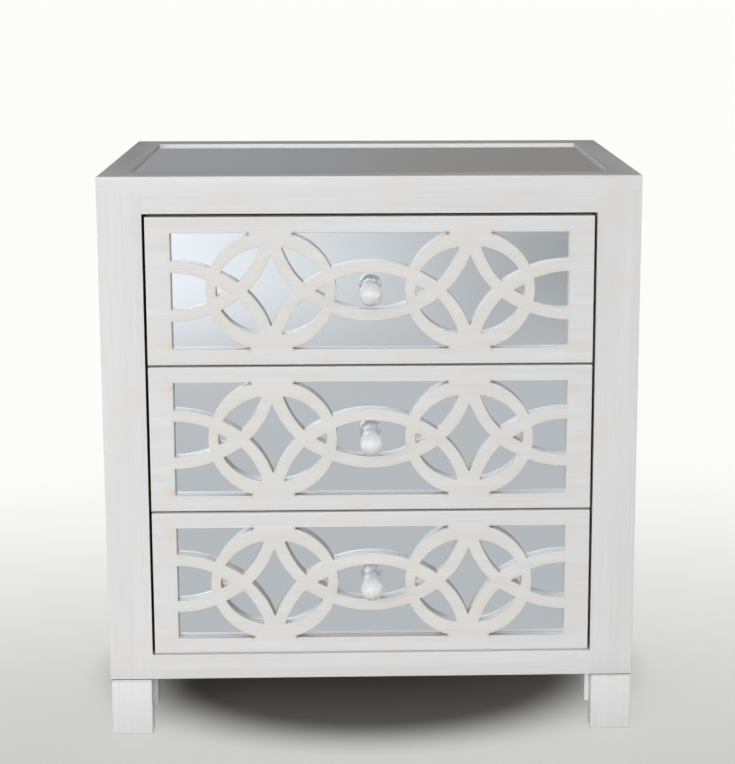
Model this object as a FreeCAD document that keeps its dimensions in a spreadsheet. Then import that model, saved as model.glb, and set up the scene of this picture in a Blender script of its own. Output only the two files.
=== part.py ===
# A three-drawer accent chest: a painted case on bracket feet, a mirror let into the top,
# and drawer fronts of interlaced-circle fretwork laid over mirror.
# X is width (left is negative), Y is depth (front is negative), Z is up from the floor.
import FreeCAD
import Part
import Sketcher
import math
import os
import re

doc = FreeCAD.newDocument("FretworkChest")
sheet = doc.addObject("Spreadsheet::Sheet", "Sizes")

# Driving dimensions in millimetres
SIZES = (
    ("overall_width", 660, "case width over the stiles"),
    ("overall_depth", 457, "case depth, front of face frame to back"),
    ("overall_height", 711, "floor to the top of the top frame"),
    ("foot_height", 74, "floor to the underside of the case"),
    ("foot_width", 51, "bracket foot, each wing along its wall"),
    ("foot_setback", 0.8, "foot face behind the case face"),
    ("foot_edge_round", 1.5, "eased upright edges of a foot"),
    ("foot_post_size", 39, "square glue post inside a foot"),
    ("foot_post_lift", 30, "glue post above the floor"),
    ("bolt_diameter", 8, "foot bolt"),
    ("bolt_clearance", 0.3, "bolt hole over the bolt, on the diameter"),
    ("bolt_inset", 35.5, "bolt axis in from the case faces"),
    ("bolt_drop", 34, "bolt length below the case"),
    ("bolt_rise", 20, "bolt length above the underside of the case"),
    ("bolt_hole_spare", 2, "hole deeper than the bolt at each end"),
    ("stile_width", 53.7, "face frame stile"),
    ("face_thickness", 22, "face frame thickness"),
    ("top_band", 45.5, "top of the chest down to the drawer opening"),
    ("bottom_rail_height", 31.5, "face frame bottom rail"),
    ("tenon_thickness", 8, "rail tenon"),
    ("tenon_length", 24, "rail tenon into the stile"),
    ("tenon_shoulder", 5, "rail shoulder above and below the tenon"),
    ("glue_gap", 0.2, "space around a tenon in its mortise"),
    ("side_thickness", 18, "side panel"),
    ("back_thickness", 5, "back panel"),
    ("rebate_width", 9, "side panel rebate that takes the back panel"),
    ("back_edge_gap", 1, "back panel edge to the rebate end"),
    ("rear_rail_thickness", 18, "rear cross rails"),
    ("rear_rail_height", 40, "rear cross rails"),
    ("bottom_panel_thickness", 12, "dust panel under the lowest drawer"),
    ("top_thickness", 18, "top frame"),
    ("top_border_front", 48, "top frame, front and back members"),
    ("top_border_side", 35, "top frame, left and right members"),
    ("top_recess", 3, "mirror below the top of the frame"),
    ("top_mirror_thickness", 4, "top mirror glass"),
    ("top_backing_thickness", 4, "board under the top mirror"),
    ("top_ledge", 12, "rebate ledge that carries the backing board"),
    ("top_mirror_gap", 0.6, "top mirror edge to the frame"),
    ("top_gap", 4, "opening above the top drawer"),
    ("drawer_gap", 3, "between drawer fronts"),
    ("bottom_gap", 2.5, "below the lowest drawer front"),
    ("side_gap", 3.3, "drawer front to stile"),
    ("fret_thickness", 8, "fretwork panel"),
    ("fret_border_side", 30.1, "fretwork border, left and right"),
    ("fret_border_top", 19.45, "fretwork border, top and bottom"),
    ("fret_corner_round", 1, "cutter radius left in each corner of the fretwork"),
    ("ring_widen", 4.9, "oval ring, half its width less half its height"),
    ("ring_band_side", 12.2, "ring band at its left and right"),
    ("ring_band_top", 18, "ring band at its top and bottom"),
    ("ring_merge", 2.7, "ring runs this far into the border, top and bottom"),
    ("strand_centre_beyond", 16.7, "centre of the inner arc past the edge of the window"),
    ("strand_rise", 23.1, "crown of the inner arc from the drawer's middle line"),
    ("strand_band", 14.1, "strand at its crown"),
    ("strand_swell", 8, "centres of the two arcs apart, which thickens the shoulders"),
    ("mirror_thickness", 3, "drawer mirror glass"),
    ("mirror_lap", 10, "mirror pocket past the fretwork window"),
    ("mirror_edge_gap", 0.5, "mirror edge to its pocket"),
    ("mirror_hole_diameter", 8, "hole in the mirror for the knob screw"),
    ("front_thickness", 12, "drawer front board"),
    ("box_setback", 3, "drawer side in from the end of the drawer front"),
    ("box_side_thickness", 12, "drawer sides and back"),
    ("box_lift", 5, "drawer side above the lower edge of the front"),
    ("box_back_inset", 8, "drawer back in from the rear end"),
    ("box_back_drop", 12, "drawer back below the top of the sides"),
    ("box_back_housing", 4, "drawer back let into the sides"),
    ("box_front_housing", 5, "drawer side let into the front board"),
    ("box_bottom_thickness", 5, "drawer bottom"),
    ("box_bottom_lift", 8, "drawer bottom above the lower edge of the sides"),
    ("box_bottom_groove", 6, "groove depth in the sides for the bottom"),
    ("groove_clearance", 0.3, "drawer bottom in its groove"),
    ("runner_clearance", 0.3, "drawer side above the runner ledge"),
    ("front_clearance", 2, "drawer front board to the runners behind it"),
    ("guide_clearance", 1, "drawer side to the runner guide"),
    ("runner_ledge_width", 18, "runner ledge under the drawer side"),
    ("runner_ledge_thickness", 12, "runner ledge"),
    ("runner_guide_height", 23, "runner guide above the ledge"),
    ("stop_length", 25.7, "drawer stop, in front of the rear rail"),
    ("stop_height", 20, "drawer stop"),
    ("stop_clearance", 0.3, "closed drawer to its stop"),
    ("kicker_clearance", 5, "drawer side to the ledge or kicker above it"),
    ("kicker_height", 20, "kicker"),
    ("knob_reach", 42.5, "knob tip in front of the face frame"),
    ("knob_head_radius", 14.5, "round head of the knob"),
    ("knob_neck_radius", 7, "neck where it meets the head"),
    ("knob_base_radius", 10, "foot of the knob on the mirror"),
    ("knob_base_thickness", 3, "foot of the knob on the mirror"),
    ("knob_bore_spare", 3, "screw hole in the knob past the end of the screw"),
    ("screw_diameter", 4, "knob screw"),
    ("screw_clearance", 0.4, "screw holes over the screw, on the diameter"),
    ("screw_engagement", 15, "knob screw inside the knob"),
    ("screw_head_radius", 4, "knob screw head"),
    ("screw_head_thickness", 2.5, "knob screw head"),
)
for row, (alias, value, note) in enumerate(SIZES, start=1):
    sheet.set(f"A{row}", alias)
    sheet.set(f"B{row}", str(value))
    sheet.set(f"C{row}", note)
    sheet.setAlias(f"B{row}", alias)
doc.recompute()

# Places, worked out from the driving dimensions
PLACES = {
    "half_width": "overall_width / 2",
    "front": "(knob_reach - overall_depth) / 2",
    "back": "(knob_reach + overall_depth) / 2",
    "face_back": "front + face_thickness",
    "case_bottom": "foot_height",
    "case_top": "overall_height - top_thickness",
    "inside_half": "half_width - side_thickness",
    "back_face": "back - back_thickness",
    "rear_rail_front": "back_face - rear_rail_thickness",
    "opening_half": "half_width - stile_width",
    "opening_low": "case_bottom + bottom_rail_height",
    "opening_high": "overall_height - top_band",
    "panel_high": "opening_low + bottom_gap + box_lift - runner_clearance - runner_ledge_thickness",
    "panel_low": "panel_high - bottom_panel_thickness",
    "top_seat": "overall_height - top_recess - top_mirror_thickness - top_backing_thickness",
    "top_inner_half": "half_width - top_border_side",
    "top_inner_front": "front + top_border_front",
    "top_inner_back": "back - top_border_front",
    "front_half": "opening_half - side_gap",
    "front_height": "(opening_high - opening_low - top_gap - bottom_gap - 2 * drawer_gap) / 3",
    "window_half": "front_half - fret_border_side",
    "window_half_up": "front_height / 2 - fret_border_top",
    "ring_offset": "window_half / 2",
    "ring_outer_up": "window_half_up + ring_merge",
    "ring_half_width": "ring_outer_up + ring_widen",
    "strand_inner_drop": "window_half_up + strand_centre_beyond",
    "strand_inner_radius": "strand_inner_drop + strand_rise",
    "fret_back": "front + fret_thickness",
    "mirror_back": "fret_back + mirror_thickness",
    "board_back": "fret_back + front_thickness",
    "box_half": "front_half - box_setback",
    "box_inner": "box_half - box_side_thickness",
    "box_end": "rear_rail_front - stop_length - stop_clearance",
    "box_height": "front_height + drawer_gap - runner_clearance - runner_ledge_thickness - kicker_clearance",
    "box_front": "board_back - box_front_housing",
    "box_back_rear": "box_end - box_back_inset",
    "box_back_front": "box_back_rear - box_side_thickness",
    "guide_face": "box_half + guide_clearance",
    "ledge_edge": "guide_face - runner_ledge_width",
    "runner_front": "max(face_back; board_back + front_clearance)",
    "knob_bore_depth": "screw_engagement + knob_bore_spare",
    "knob_centre": "knob_reach - knob_head_radius",
}
ALIASES = {alias for alias, value, note in SIZES}
DRAWERS = ("bottom", "middle", "top")
SIDES = (("left", -1), ("right", 1))
# Walls that turn by less than this, in radians, meet smoothly and have no corner to ease
SMOOTH_TURN = 0.02
# A round may use up this share of the shorter wall beside it
WALL_SHARE = 0.4
nodes = []


def expand(text):
    """Write a formula of sizes and places in terms of the sheet's cells."""
    def swap(match):
        word = match.group()
        if word in PLACES:
            return f"({expand(PLACES[word])})"
        return f"Sizes.{word}" if word in ALIASES else word
    return re.sub(r"[a-z][a-z_]*", swap, text)


def number(text):
    """The value of a formula, for a first placing of sketch points."""
    return float(sheet.evalExpression(expand(text)))


def bind(item, **formulas):
    for name, text in formulas.items():
        item.setExpression(name, expand(text))


def place(item, x="0", y="0", z="0"):
    for axis, text in zip("xyz", (x, y, z)):
        item.setExpression(f"Placement.Base.{axis}", expand(text))


def node(item, name):
    """Name a finished sub-part and put it on the list of pieces."""
    item.Label = name
    nodes.append(item)
    return item


def block(name, x, y, z):
    """A board between two places on each axis."""
    board = doc.addObject("Part::Box", name)
    spans = [f"({high}) - ({low})" for low, high in (x, y, z)]
    bind(board, Length=spans[0], Width=spans[1], Height=spans[2])
    place(board, x[0], y[0], z[0])
    return board


def upright(name, radius, x, y, z):
    """A round bar standing along Z."""
    bar = doc.addObject("Part::Cylinder", name)
    bind(bar, Radius=radius, Height=f"({z[1]}) - ({z[0]})")
    place(bar, x, y, z[0])
    return bar


def crosswise(name, radius, x, y, z):
    """A round bar lying along Y."""
    bar = doc.addObject("Part::Cylinder", name)
    bind(bar, Radius=radius, Height=f"({y[1]}) - ({y[0]})")
    bar.Placement = FreeCAD.Placement(FreeCAD.Vector(), FreeCAD.Rotation(FreeCAD.Vector(1, 0, 0), -90))
    place(bar, x, y[0], z)
    return bar


def fuse(name, *items):
    joined = doc.addObject("Part::MultiFuse", name)
    joined.Shapes = list(items)
    joined.Refine = True
    return joined


def cut(name, base, *tools):
    result = doc.addObject("Part::Cut", name)
    result.Base = base
    result.Tool = tools[0] if len(tools) == 1 else fuse(f"{name}_tools", *tools)
    result.Refine = True
    return result


def group(name, *items):
    """Separate solids of one kind that share a node."""
    holder = doc.addObject("Part::Compound", name)
    holder.Links = list(items)
    return node(holder, name)


def span(side, low, high):
    """A span on the left or right of the middle plane, mirrored by the side's sign."""
    return (low, high) if side > 0 else (f"-({high})", f"-({low})")


def room_for_round(shape, edge):
    """The largest radius that the two walls at a straight edge have room for."""
    walls = shape.ancestorsOfType(edge, Part.Face)
    if len(walls) < 2:
        return 0
    spot = edge.CenterOfMass
    facing = [wall.normalAt(*wall.Surface.parameter(spot)) for wall in walls]
    turn = facing[0].getAngle(facing[1])
    if turn < SMOOTH_TURN:
        return 0
    narrowest = min(wall.Area for wall in walls) / edge.Length
    return WALL_SHARE * narrowest / math.tan(turn / 2)


def rounded(name, base, axis, radius):
    """Ease every corner whose edge runs along an axis, by less where its walls are short."""
    doc.recompute()
    corners_eased = []
    for index, edge in enumerate(base.Shape.Edges, start=1):
        along = edge.Vertexes[-1].Point - edge.Vertexes[0].Point
        if along.Length > 0 and abs(along.normalize().dot(axis)) > 0.999:
            size = min(number(radius), room_for_round(base.Shape, edge))
            if size > 0:
                corners_eased.append((index, size, size))
    eased = doc.addObject("Part::Fillet", name)
    eased.Base = base
    eased.Edges = corners_eased
    return eased


def sketch_on(body, name, role):
    """An empty sketch on one of the body's own planes."""
    plane = next(item for item in body.Origin.OriginFeatures if item.Role == role)
    sketch = body.newObject("Sketcher::SketchObject", name)
    sketch.AttachmentSupport = (plane, [""])
    sketch.MapMode = "FlatFace"
    return sketch


def pin(sketch, geometry, end, across=None, up=None):
    """Hold a sketch point at a place across and up from the sketch's origin."""
    for kind, axis, text in (("DistanceX", -2, across), ("DistanceY", -1, up)):
        if text == "0":
            sketch.addConstraint(Sketcher.Constraint("PointOnObject", geometry, end, axis))
        elif text is not None:
            rule = Sketcher.Constraint(kind, -1, 1, geometry, end, number(text))
            index = sketch.addConstraint(rule)
            sketch.setExpression(f"Constraints[{index}]", expand(text))


def outline(body, name, role, corners):
    """A closed outline of straight lines through corners given as formulas."""
    sketch = sketch_on(body, name, role)
    points = [FreeCAD.Vector(number(across), number(up), 0) for across, up in corners]
    count = len(points)
    for index in range(count):
        sketch.addGeometry(Part.LineSegment(points[index], points[(index + 1) % count]))
    for index in range(count):
        sketch.addConstraint(Sketcher.Constraint("Coincident", index, 2, (index + 1) % count, 1))
    for index, (across, up) in enumerate(corners):
        pin(sketch, index, 1, across, up)
    return sketch


def pad(body, sketch, length, backwards=False):
    feature = body.newObject("PartDesign::Pad", f"{sketch.Name}_pad")
    feature.Profile = sketch
    feature.Reversed = backwards
    bind(feature, Length=length)
    return feature


def revolve(body, sketch):
    """Turn a half outline about the sketch's upright axis."""
    feature = body.newObject("PartDesign::Revolution", f"{sketch.Name}_turned")
    feature.Profile = sketch
    feature.ReferenceAxis = (sketch, ["V_Axis"])
    feature.Angle = 360
    return feature


# Face frame: two stiles, and two rails tenoned into them
def rail(name, low, high):
    body = block(f"{name}_bar", ("-opening_half", "opening_half"), ("front", "face_back"), (low, high))
    reach = "opening_half + tenon_length"
    middle = "front + face_thickness / 2"
    tenon = block(f"{name}_tenon", (f"-({reach})", reach),
                  (f"{middle} - tenon_thickness / 2", f"{middle} + tenon_thickness / 2"),
                  (f"{low} + tenon_shoulder", f"{high} - tenon_shoulder"))
    node(fuse(name, body, tenon), name)


def stile(word, side):
    body = block(f"{word}_stile_bar", span(side, "opening_half", "half_width"),
                 ("front", "face_back"), ("case_bottom", "case_top"))
    middle = "front + face_thickness / 2"
    half = "(tenon_thickness / 2 + glue_gap)"
    mortises = []
    for end, low, high in (("upper", "opening_high", "case_top"), ("lower", "case_bottom", "opening_low")):
        mortises.append(block(f"{word}_stile_{end}_mortise",
                              span(side, "opening_half", "opening_half + tenon_length + glue_gap"),
                              (f"{middle} - {half}", f"{middle} + {half}"),
                              (f"{low} + tenon_shoulder - glue_gap", f"{high} - tenon_shoulder + glue_gap")))
    node(cut(f"{word}_stile", body, *mortises), f"{word}_stile")


rail("top_rail", "opening_high", "case_top")
rail("bottom_rail", "case_bottom", "opening_low")
for word, side in SIDES:
    stile(word, side)


# Case sides, back, rear rails and dust panel
def side_panel(word, side):
    name = f"{word}_side_panel"
    board = block(f"{name}_board", span(side, "inside_half", "half_width"),
                  ("face_back", "back"), ("case_bottom", "case_top"))
    rebate = block(f"{name}_rebate", span(side, "inside_half", "inside_half + rebate_width"),
                   ("back_face", "back"), ("case_bottom", "case_top"))
    node(cut(name, board, rebate), name)


for word, side in SIDES:
    side_panel(word, side)

back_half = "inside_half + rebate_width - back_edge_gap"
node(block("back_panel", (f"-({back_half})", back_half), ("back_face", "back"),
           ("case_bottom + back_edge_gap", "case_top - back_edge_gap")), "back_panel")
for name, low, high in (("rear_top_rail", "case_top - rear_rail_height", "case_top"),
                        ("rear_bottom_rail", "case_bottom", "case_bottom + rear_rail_height")):
    node(block(name, ("-inside_half", "inside_half"), ("rear_rail_front", "back_face"), (low, high)), name)


# Bracket feet, the glue posts inside them and the bolts that hang the posts from the dust panel
def corners():
    """Each corner of the case: its name, its side and its end, front or back."""
    for end, way in (("front", 1), ("rear", -1)):
        for word, side in SIDES:
            yield f"{end}_{word}", side, way


def in_from_end(way, distance):
    """A place that far in from the front or the back of the case."""
    return f"front + {distance}" if way > 0 else f"back - ({distance})"


def depth_span(way, near, far):
    low, high = in_from_end(way, near), in_from_end(way, far)
    return (low, high) if way > 0 else (high, low)


def bolt_axis(side, way):
    return f"{side} * (half_width - bolt_inset)", in_from_end(way, "bolt_inset")


def bolt_hole(name, side, way):
    x, y = bolt_axis(side, way)
    depth = ("case_bottom - bolt_drop - bolt_hole_spare", "case_bottom + bolt_rise + bolt_hole_spare")
    return upright(f"{name}_hole", "(bolt_diameter + bolt_clearance) / 2", x, y, depth)


def wall_depth(way):
    """Thickness of the case wall above a foot, at the front or the back."""
    return "face_thickness" if way > 0 else "(back_thickness + rear_rail_thickness)"


def foot(corner, side, way):
    """An angle of two wings that line up with the walls above, cut from an eased square."""
    far = "(foot_setback + foot_width)"
    square = block(f"{corner}_leg", span(side, f"half_width - {far}", "half_width - foot_setback"),
                   depth_span(way, "foot_setback", far), ("0", "foot_height"))
    eased = rounded(f"{corner}_leg_eased", square, FreeCAD.Vector(0, 0, 1), "foot_edge_round")
    hollow = block(f"{corner}_hollow", span(side, f"half_width - {far}", "inside_half"),
                   depth_span(way, wall_depth(way), far), ("0", "foot_height"))
    node(cut(f"{corner}_foot", eased, hollow), f"{corner}_foot")


def corner_block(corner, side, way):
    """A square glue post in the angle of a foot, up to the dust panel."""
    post = block(f"{corner}_post", span(side, "inside_half - foot_post_size", "inside_half"),
                 depth_span(way, wall_depth(way), f"{wall_depth(way)} + foot_post_size"),
                 ("foot_post_lift", "panel_low"))
    return cut(f"{corner}_block", post, holes[corner])


def foot_bolt(corner, side, way):
    x, y = bolt_axis(side, way)
    return upright(f"{corner}_bolt", "bolt_diameter / 2", x, y,
                   ("case_bottom - bolt_drop", "case_bottom + bolt_rise"))


holes = {corner: bolt_hole(corner, side, way) for corner, side, way in corners()}
for corner, side, way in corners():
    foot(corner, side, way)
group("corner_blocks", *[corner_block(*corner) for corner in corners()])
group("foot_bolts", *[foot_bolt(*corner) for corner in corners()])
dust_board = block("dust_board", ("-inside_half", "inside_half"), ("face_back", "rear_rail_front"),
                   ("panel_low", "panel_high"))
node(cut("bottom_panel", dust_board, *holes.values()), "bottom_panel")


# Top: four mitred members with a ledge, a backing board and a mirror set below the frame
def rectangle(half, low, high):
    return ((f"-({half})", low), (half, low), (half, high), (f"-({half})", high))


def top_member(name, index):
    following = (index + 1) % 4
    outer = rectangle("half_width", "front", "back")
    inner = rectangle("top_inner_half", "top_inner_front", "top_inner_back")
    ledge = rectangle("top_inner_half - top_ledge", "top_inner_front + top_ledge", "top_inner_back - top_ledge")
    body = doc.addObject("PartDesign::Body", name)
    upper = (outer[index], outer[following], inner[following], inner[index])
    pad(body, outline(body, f"{name}_upper", "XY_Plane", upper), "overall_height - top_seat")
    lower = (outer[index], outer[following], inner[following], ledge[following], ledge[index], inner[index])
    pad(body, outline(body, f"{name}_lower", "XY_Plane", lower), "top_seat - case_top", backwards=True)
    place(body, z="top_seat")
    node(body, name)


for index, end in enumerate(("front", "right", "back", "left")):
    top_member(f"top_frame_{end}", index)
glass_half = "top_inner_half - top_mirror_gap"
glass_depth = ("top_inner_front + top_mirror_gap", "top_inner_back - top_mirror_gap")
glass_low = "top_seat + top_backing_thickness"
node(block("top_backing_board", (f"-({glass_half})", glass_half), glass_depth, ("top_seat", glass_low)),
     "top_backing_board")
node(block("top_mirror", (f"-({glass_half})", glass_half), glass_depth,
           (glass_low, f"{glass_low} + top_mirror_thickness")), "top_mirror")


# Runners that carry the drawer sides, stops behind the drawers and kickers above the top one
def front_low(level):
    return f"(opening_low + bottom_gap + {level} * (front_height + drawer_gap))"


def ledge_top(level):
    return f"({front_low(level)} + box_lift - runner_clearance)"


def runner(drawer, level, word, side):
    """An L-shaped runner: a guide against the side panel and a ledge under the drawer side."""
    name = f"{drawer}_{word}_runner"
    body = doc.addObject("PartDesign::Body", name)
    profile = (("inside_half", "-runner_ledge_thickness"), ("inside_half", "runner_guide_height"),
               ("guide_face", "runner_guide_height"), ("guide_face", "0"),
               ("ledge_edge", "0"), ("ledge_edge", "-runner_ledge_thickness"))
    shape = [(f"{side} * ({across})", up) for across, up in profile]
    profile_sketch = outline(body, f"{name}_profile", "XZ_Plane", shape)
    pad(body, profile_sketch, "rear_rail_front - runner_front", backwards=True)
    place(body, y="runner_front", z=ledge_top(level))
    node(body, name)


stops = []
for level, drawer in enumerate(DRAWERS):
    for word, side in SIDES:
        runner(drawer, level, word, side)
        stops.append(block(f"{drawer}_{word}_stop", span(side, "ledge_edge", "guide_face"),
                           ("box_end + stop_clearance", "rear_rail_front"),
                           (ledge_top(level), f"{ledge_top(level)} + stop_height")))
group("drawer_stops", *stops)
kicker_low = f"{front_low(2)} + box_lift + box_height + kicker_clearance"
for word, side in SIDES:
    node(block(f"{word}_kicker", span(side, "ledge_edge", "inside_half"), ("runner_front", "rear_rail_front"),
               (kicker_low, f"{kicker_low} + kicker_height")), f"{word}_kicker")


# Fretwork: a border, two oval rings and crescent strands that cross inside each ring
def oval(name, across, up, x):
    """An upright oval plate as thick as the fretwork."""
    curve = doc.addObject("Part::Ellipse", f"{name}_curve")
    bind(curve, MajorRadius=across, MinorRadius=up)
    curve.Placement = FreeCAD.Placement(FreeCAD.Vector(), FreeCAD.Rotation(FreeCAD.Vector(1, 0, 0), 90))
    place(curve, x)
    plate = doc.addObject("Part::Extrusion", name)
    plate.Base = curve
    plate.DirMode = "Custom"
    plate.Dir = FreeCAD.Vector(0, 1, 0)
    plate.Solid = True
    bind(plate, LengthFwd="fret_thickness")
    return plate


def ring(name, x):
    outside = oval(f"{name}_outside", "ring_half_width", "ring_outer_up", x)
    inside = oval(f"{name}_inside", "ring_half_width - ring_band_side", "ring_outer_up - ring_band_top", x)
    return cut(name, outside, inside)


def strand(name, x, way):
    """A crescent between two arcs; it bows away from its centres, up or down."""
    depth = ("0", "fret_thickness")
    outside = crosswise(f"{name}_outside", "strand_inner_radius + strand_band + strand_swell", x, depth,
                        f"{-way} * (strand_inner_drop + strand_swell)")
    inside = crosswise(f"{name}_inside", "strand_inner_radius", x, depth, f"{-way} * strand_inner_drop")
    return cut(name, outside, inside)


def fretwork_pattern():
    """The whole cut panel about its own centre, with the cutter's radius in every corner."""
    depth = ("0", "fret_thickness")
    blank = block("fret_blank", ("-front_half", "front_half"), depth, ("-front_height / 2", "front_height / 2"))
    window = block("fret_window", ("-window_half", "window_half"), depth, ("-window_half_up", "window_half_up"))
    bands = []
    for step in (-1, 1):
        bands.append(ring(f"fret_ring_{len(bands)}", f"{step} * ring_offset"))
    for step in (-2, 0, 2):
        for way in (-1, 1):
            bands.append(strand(f"fret_strand_{len(bands)}", f"{step} * ring_offset", way))
    web = doc.addObject("Part::Common", "fret_web")
    web.Base = blank
    web.Tool = fuse("fret_bands", *bands)
    panel = fuse("fret_panel", cut("fret_border", blank, window), web)
    return rounded("fret_pattern", panel, FreeCAD.Vector(0, 1, 0), "fret_corner_round")


def fretwork(drawer, middle):
    name = f"{drawer}_drawer_fretwork"
    panel = doc.addObject("Part::Compound", name)
    panel.Links = [pattern]
    place(panel, y="front", z=middle)
    node(panel, name)


# Drawer front: mirror in a pocket of the front board, behind the fretwork
def mirror_spans(middle, gap):
    half = f"window_half + mirror_lap - {gap}"
    tall = f"(window_half_up + mirror_lap - {gap})"
    return (f"-({half})", half), (f"{middle} - {tall}", f"{middle} + {tall}")


def drawer_front(drawer, low, high, middle):
    name = f"{drawer}_drawer_mirror"
    across, up = mirror_spans(middle, "mirror_edge_gap")
    glass = block(f"{name}_glass", across, ("fret_back", "mirror_back"), up)
    drilling = crosswise(f"{name}_hole", "mirror_hole_diameter / 2", "0", ("fret_back", "mirror_back"), middle)
    node(cut(name, glass, drilling), name)

    name = f"{drawer}_drawer_front"
    board = block(f"{name}_board", ("-front_half", "front_half"), ("fret_back", "board_back"), (low, high))
    across, up = mirror_spans(middle, "0")
    cuts = [block(f"{name}_pocket", across, ("fret_back", "mirror_back"), up)]
    cuts.append(crosswise(f"{name}_hole", "(screw_diameter + screw_clearance) / 2", "0",
                          ("fret_back", "board_back"), middle))
    for word, side in SIDES:
        cuts.append(block(f"{name}_{word}_housing", span(side, "box_inner", "box_half"),
                          ("box_front", "board_back"),
                          (f"{low} + box_lift", f"{low} + box_lift + box_height")))
    groove_low = f"{low} + box_lift + box_bottom_lift"
    cuts.append(block(f"{name}_groove", ("-box_inner", "box_inner"), ("box_front", "board_back"),
                      (groove_low, f"{groove_low} + box_bottom_thickness + groove_clearance")))
    node(cut(name, board, *cuts), name)


# Drawer box: sides, back and a bottom that runs in grooves
def drawer_box(drawer, low):
    base = f"{low} + box_lift"
    rim = f"{base} + box_height"
    floor_low = f"{base} + box_bottom_lift"
    floor_high = f"{floor_low} + box_bottom_thickness"
    for word, side in SIDES:
        name = f"{drawer}_drawer_{word}_side"
        board = block(f"{name}_board", span(side, "box_inner", "box_half"), ("box_front", "box_end"), (base, rim))
        groove = block(f"{name}_groove", span(side, "box_inner", "box_inner + box_bottom_groove"),
                       ("box_front", "box_end"), (floor_low, f"{floor_high} + groove_clearance"))
        housing = block(f"{name}_housing", span(side, "box_inner", "box_inner + box_back_housing"),
                        ("box_back_front", "box_back_rear"), (floor_high, rim))
        node(cut(name, board, groove, housing), name)
    name = f"{drawer}_drawer_back"
    half = "box_inner + box_back_housing"
    node(block(name, (f"-({half})", half), ("box_back_front", "box_back_rear"),
               (floor_high, f"{rim} - box_back_drop")), name)
    name = f"{drawer}_drawer_bottom"
    half = "box_inner + box_bottom_groove - groove_clearance"
    node(block(name, (f"-({half})", half), ("box_front + groove_clearance", "box_end"),
               (floor_low, floor_high)), name)


# Knob, turned about its own axis, and the screw that holds it from inside the drawer
def knob(drawer, middle):
    name = f"{drawer}_drawer_knob"
    body = doc.addObject("PartDesign::Body", name)
    sketch = sketch_on(body, f"{name}_half", "XY_Plane")
    bore = "(screw_diameter + screw_clearance) / 2"
    tip = "-(fret_thickness + knob_reach)"
    centre = "-(fret_thickness + knob_centre)"
    head = number("knob_head_radius")
    neck = number("knob_neck_radius")
    middle_point = FreeCAD.Vector(0, number(centre), 0)
    join = FreeCAD.Vector(neck, number(centre) + math.sqrt(head ** 2 - neck ** 2), 0)
    points = [FreeCAD.Vector(0, number(tip), 0),
              FreeCAD.Vector(0, -number("knob_bore_depth"), 0),
              FreeCAD.Vector(number(bore), -number("knob_bore_depth"), 0),
              FreeCAD.Vector(number(bore), 0, 0),
              FreeCAD.Vector(number("knob_base_radius"), 0, 0),
              FreeCAD.Vector(number("knob_base_radius"), -number("knob_base_thickness"), 0),
              join]
    for start, end in zip(points, points[1:]):
        sketch.addGeometry(Part.LineSegment(start, end))
    circle = Part.Circle(middle_point, FreeCAD.Vector(0, 0, 1), head)
    arc = sketch.addGeometry(Part.ArcOfCircle(circle, -math.pi / 2, math.acos(neck / head)))
    for index in range(arc - 1):
        sketch.addConstraint(Sketcher.Constraint("Coincident", index, 2, index + 1, 1))
    sketch.addConstraint(Sketcher.Constraint("Coincident", arc - 1, 2, arc, 2))
    sketch.addConstraint(Sketcher.Constraint("Coincident", 0, 1, arc, 1))
    pin(sketch, 0, 1, across="0")
    pin(sketch, 1, 1, "0", "-knob_bore_depth")
    pin(sketch, 2, 1, bore, "-knob_bore_depth")
    pin(sketch, 3, 1, bore, "0")
    pin(sketch, 4, 1, "knob_base_radius", "0")
    pin(sketch, 5, 1, "knob_base_radius", "-knob_base_thickness")
    pin(sketch, arc, 2, across="knob_neck_radius")
    pin(sketch, arc, 3, "0", centre)
    size = sketch.addConstraint(Sketcher.Constraint("Radius", arc, head))
    sketch.setExpression(f"Constraints[{size}]", expand("knob_head_radius"))
    revolve(body, sketch)
    place(body, y="fret_back", z=middle)
    node(body, name)


def knob_screw(drawer, middle):
    name = f"{drawer}_drawer_knob_screw"
    body = doc.addObject("PartDesign::Body", name)
    grip = "front_thickness"
    half = (("0", "-screw_engagement"), ("screw_diameter / 2", "-screw_engagement"),
            ("screw_diameter / 2", grip), ("screw_head_radius", grip),
            ("screw_head_radius", f"{grip} + screw_head_thickness"), ("0", f"{grip} + screw_head_thickness"))
    revolve(body, outline(body, f"{name}_half", "XY_Plane", half))
    place(body, y="fret_back", z=middle)
    node(body, name)


pattern = fretwork_pattern()
for level, drawer in enumerate(DRAWERS):
    low = front_low(level)
    high = f"{low} + front_height"
    middle = f"({low} + front_height / 2)"
    fretwork(drawer, middle)
    drawer_front(drawer, low, high, middle)
    drawer_box(drawer, low)
    knob(drawer, middle)
    knob_screw(drawer, middle)

doc.recompute()

# Nothing is written unless every object and every piece is sound
for item in doc.Objects:
    if {"Invalid", "Error"} & set(item.State):
        raise RuntimeError(f"{item.Name} failed: {item.State}")
for item in nodes:
    if item.Shape.isNull() or not item.Shape.isValid():
        raise RuntimeError(f"{item.Label} has no valid shape")
os.makedirs("parts", exist_ok=True)
for item in nodes:
    item.Shape.exportStep(f"parts/{item.Label}.step")
    box = item.Shape.BoundBox
    print(f"{item.Label}: {len(item.Shape.Solids)} solid, "
          f"{box.XLength:.1f} x {box.YLength:.1f} x {box.ZLength:.1f} mm")
print(f"{len(nodes)} pieces")
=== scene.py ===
# %% [markdown]
# # A painted chest of drawers with fretwork over mirror
#
# The chest is a straight-sided case on four bracket feet. Each drawer front is a cut wooden panel of
# interlaced rings over a sheet of mirror, and a larger mirror is let into the top. The paint is an
# antique white, put on by brush and rubbed a little along the edges of the cut-out bands.
#
# The solid model gives every piece its place and size. This script loads it, makes the pieces that show
# again with softened edges and worn paint, and gives each remaining piece a finish of its own.

# %% Load the solid model
import math

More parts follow.
